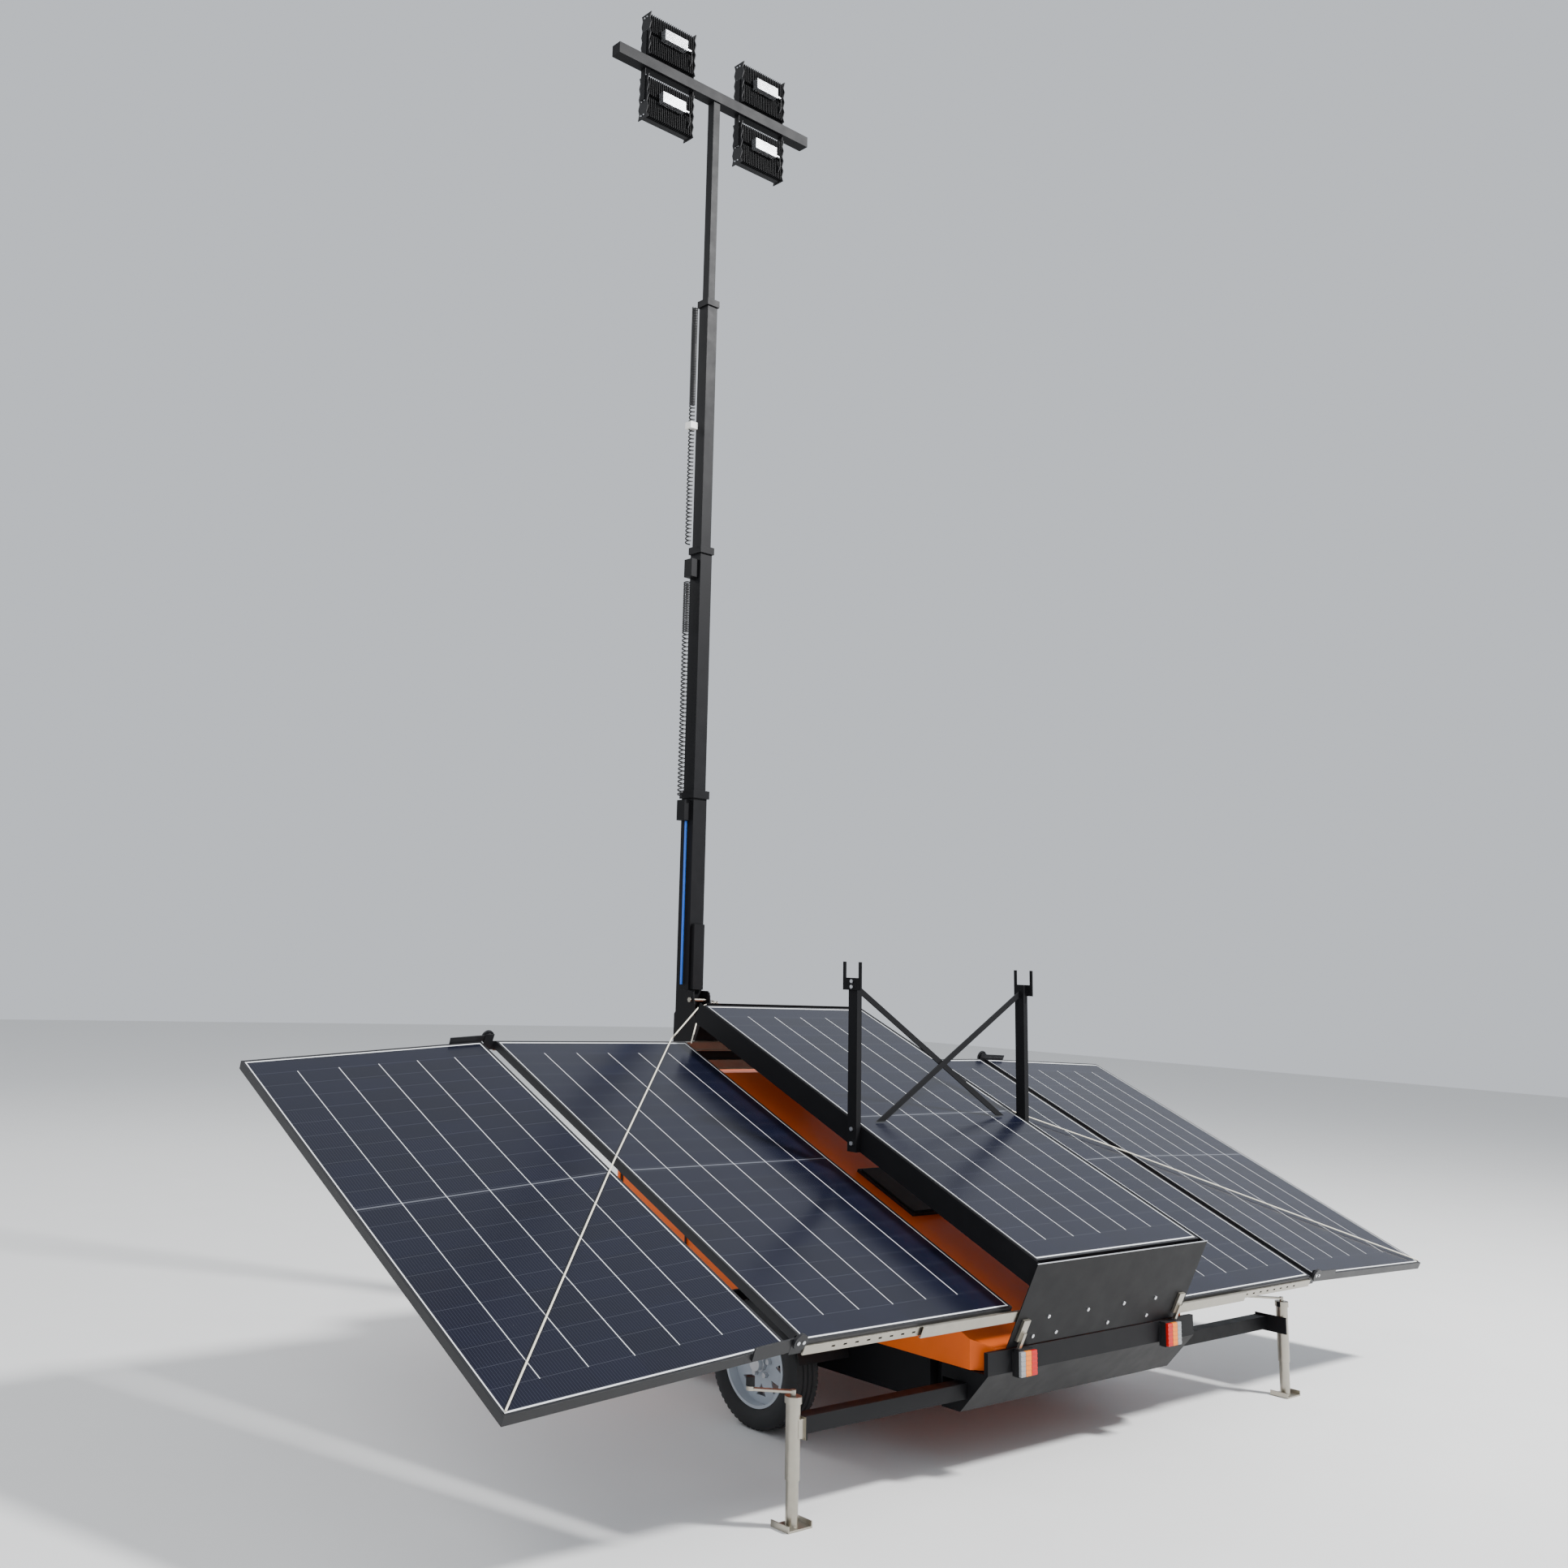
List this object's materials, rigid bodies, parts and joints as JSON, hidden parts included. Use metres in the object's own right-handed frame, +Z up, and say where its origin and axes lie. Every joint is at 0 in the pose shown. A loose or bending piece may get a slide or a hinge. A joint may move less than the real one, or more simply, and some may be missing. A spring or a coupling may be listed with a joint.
{
  "type": "mobile solar light tower trailer",
  "caption": "Towable light tower with a telescopic tilting mast, flood lamps, a tilted sliding and folding solar array, side outriggers with screw jacks and a closed equipment cabinet.",
  "frame": {"origin": "ground level under the middle of the whole deployed object", "axes": "+X to the right of the trailer, +Y forwards to the coupling, +Z up"},
  "size_m": [5.8773, 3.9626, 7.485],
  "materials": {
    "black_paint": "satin powder coat",
    "black_plastic": "matt",
    "blue_cable": "satin",
    "cord": "matt",
    "lamp_black": "anodised",
    "lens": "gloss",
    "module_frame": "black anodised",
    "orange_paint": "satin powder coat",
    "rim": "gloss",
    "rope": "woven",
    "silver": "satin",
    "solar_glass": "gloss",
    "tyre": "matt",
    "zinc": "zinc plated"
  },
  "bodies": {
    "trailer": {"chassis_frame": "black_paint", "rear_light_box": "black_paint", "cabinet_shell": "orange_paint", "power_pack": "black_plastic", "axle": "black_paint", "mudguards": "black_plastic", "tail_lamp_housings": "black_plastic", "tail_lamp_lenses": "lens", "drawbar": "black_paint", "mast_pedestal": "black_paint", "mast_pivot_pin": "zinc", "anchor_chain": "zinc", "jockey_tube": "zinc", "left_rope": "rope", "right_rope": "rope"},
    "mast_lower": {"mast_base": "black_paint", "mast_cable": "blue_cable", "cord_lower": "cord"},
    "mast_two": {"mast_section_2": "black_paint", "cord_upper": "cord"},
    "mast_three": {"mast_section_3": "black_paint"},
    "mast_top": {"mast_section_4": "black_paint", "t_bar": "black_paint"},
    "rack": {"rack_lid": "black_paint", "mast_rest": "black_paint", "rack_latches": "zinc", "lid_module_frame": "module_frame", "lid_module_glass": "solar_glass", "rack_slides": "zinc"},
    "jockey_leg": {"jockey_leg": "zinc"},
    "lamp_upper_left": {"lamp_upper_left": "lamp_black"},
    "lamp_upper_right": {"lamp_upper_right": "lamp_black"},
    "lamp_lower_left": {"lamp_lower_left": "lamp_black"},
    "lamp_lower_right": {"lamp_lower_right": "lamp_black"},
    "left_slide_middle": {"left_slide_middle": "zinc"},
    "left_inner": {"left_inner_frame": "module_frame", "left_inner_glass": "solar_glass", "left_slide_inner": "zinc"},
    "left_outer": {"left_outer_frame": "module_frame", "left_outer_glass": "solar_glass"},
    "left_wheel": {"left_tyre": "tyre", "left_rim": "rim", "left_hub": "silver"},
    "left_door": {"left_door": "orange_paint"},
    "left_outrigger": {"left_outrigger": "black_paint"},
    "left_jack_leg": {"left_jack_leg": "zinc"},
    "left_jack_crank": {"left_jack_crank": "zinc"},
    "right_slide_middle": {"right_slide_middle": "zinc"},
    "right_inner": {"right_inner_frame": "module_frame", "right_inner_glass": "solar_glass", "right_slide_inner": "zinc"},
    "right_outer": {"right_outer_frame": "module_frame", "right_outer_glass": "solar_glass"},
    "right_wheel": {"right_tyre": "tyre", "right_rim": "rim", "right_hub": "silver"},
    "right_door": {"right_door": "orange_paint"},
    "right_outrigger": {"right_outrigger": "black_paint"},
    "right_jack_leg": {"right_jack_leg": "zinc"},
    "right_jack_crank": {"right_jack_crank": "zinc"}
  },
  "joints": [
    {"name": "mast_fold", "type": "hinge", "parent": "trailer", "child": "mast_lower", "pos_m": [0, 0.62, 1.68], "axis": [1, 0, 0], "range_deg": [0, 86.1]},
    {"name": "mast_s2", "type": "slide", "parent": "mast_lower", "child": "mast_two", "axis": [0, 0, -1], "range_m": [0, 1.138], "deforming": ["cord_lower"]},
    {"name": "mast_s3", "type": "slide", "parent": "mast_two", "child": "mast_three", "axis": [0, 0, -1], "range_m": [0, 1.4231], "deforming": ["cord_upper"]},
    {"name": "mast_s4", "type": "slide", "parent": "mast_three", "child": "mast_top", "axis": [0, 0, -1], "range_m": [0, 1.2363]},
    {"name": "lamp_upper_left_tilt", "type": "hinge", "parent": "mast_top", "child": "lamp_upper_left", "pos_m": [-0.385, 0.705, 7.345], "axis": [1, 0, 0], "range_deg": [-30, 45]},
    {"name": "lamp_upper_right_tilt", "type": "hinge", "parent": "mast_top", "child": "lamp_upper_right", "pos_m": [0.385, 0.705, 7.345], "axis": [1, 0, 0], "range_deg": [-30, 45]},
    {"name": "lamp_lower_left_tilt", "type": "hinge", "parent": "mast_top", "child": "lamp_lower_left", "pos_m": [-0.385, 0.705, 6.933], "axis": [1, 0, 0], "range_deg": [-30, 45]},
    {"name": "lamp_lower_right_tilt", "type": "hinge", "parent": "mast_top", "child": "lamp_lower_right", "pos_m": [0.385, 0.705, 6.933], "axis": [1, 0, 0], "range_deg": [-30, 45]},
    {"name": "rack_lift", "type": "hinge", "parent": "trailer", "child": "rack", "pos_m": [0, 0.16, 1.362], "axis": [1, 0, 0], "range_deg": [-30, 0]},
    {"name": "left_panel_slide", "type": "slide", "parent": "rack", "child": "left_inner", "axis": [1, 0, 0], "range_m": [0, 1.182]},
    {"name": "left_middle_slide", "type": "slide", "parent": "rack", "child": "left_slide_middle", "axis": [1, 0, 0], "range_m": [0, 0.591]},
    {"name": "left_panel_fold", "type": "hinge", "parent": "left_inner", "child": "left_outer", "pos_m": [-1.789, -0.92408, 1.0763], "axis": [0, 0.9119, 0.4104], "range_deg": [0, 184.5], "deforming": ["left_rope"]},
    {"name": "left_wheel_spin", "type": "hinge", "parent": "trailer", "child": "left_wheel", "pos_m": [-0.925, -0.86, 0.25], "axis": [1, 0, 0], "continuous": true},
    {"name": "left_door_swing", "type": "hinge", "parent": "trailer", "child": "left_door", "pos_m": [-0.722, 0.372, 0.66], "axis": [0, 0, 1], "range_deg": [-100, 0]},
    {"name": "left_outrigger_slide", "type": "slide", "parent": "trailer", "child": "left_outrigger", "axis": [1, 0, 0], "range_m": [0, 0.8]},
    {"name": "left_jack_raise", "type": "slide", "parent": "left_outrigger", "child": "left_jack_leg", "axis": [0, 0, 1], "range_m": [0, 0.12]},
    {"name": "left_crank_turn", "type": "hinge", "parent": "left_outrigger", "child": "left_jack_crank", "pos_m": [-1.65, -1.73, 0.44], "axis": [0, 0, 1], "continuous": true},
    {"name": "right_panel_slide", "type": "slide", "parent": "rack", "child": "right_inner", "axis": [-1, 0, 0], "range_m": [0, 1.169]},
    {"name": "right_middle_slide", "type": "slide", "parent": "rack", "child": "right_slide_middle", "axis": [-1, 0, 0], "range_m": [0, 0.5845]},
    {"name": "right_panel_fold", "type": "hinge", "parent": "right_inner", "child": "right_outer", "pos_m": [1.761, -0.8818, 0.98237], "axis": [0, -0.9119, -0.4104], "range_deg": [0, 182], "deforming": ["right_rope"]},
    {"name": "right_wheel_spin", "type": "hinge", "parent": "trailer", "child": "right_wheel", "pos_m": [0.925, -0.86, 0.25], "axis": [1, 0, 0], "continuous": true},
    {"name": "right_door_swing", "type": "hinge", "parent": "trailer", "child": "right_door", "pos_m": [0.722, 0.372, 0.66], "axis": [0, 0, -1], "range_deg": [-100, 0]},
    {"name": "right_outrigger_slide", "type": "slide", "parent": "trailer", "child": "right_outrigger", "axis": [-1, 0, 0], "range_m": [0, 0.8]},
    {"name": "right_jack_raise", "type": "slide", "parent": "right_outrigger", "child": "right_jack_leg", "axis": [0, 0, 1], "range_m": [0, 0.12]},
    {"name": "right_crank_turn", "type": "hinge", "parent": "right_outrigger", "child": "right_jack_crank", "pos_m": [1.65, -1.73, 0.44], "axis": [0, 0, 1], "continuous": true},
    {"name": "jockey_raise", "type": "slide", "parent": "trailer", "child": "jockey_leg", "axis": [0, 0, 1], "range_m": [0, 0.09]}
  ],
  "couplings": [
    {"joint": "mast_s3", "follows": "mast_s2", "ratio": 1.2504},
    {"joint": "mast_s4", "follows": "mast_s2", "ratio": 1.0863},
    {"joint": "left_middle_slide", "follows": "left_panel_slide", "ratio": 0.5},
    {"joint": "right_middle_slide", "follows": "right_panel_slide", "ratio": 0.5}
  ]
}
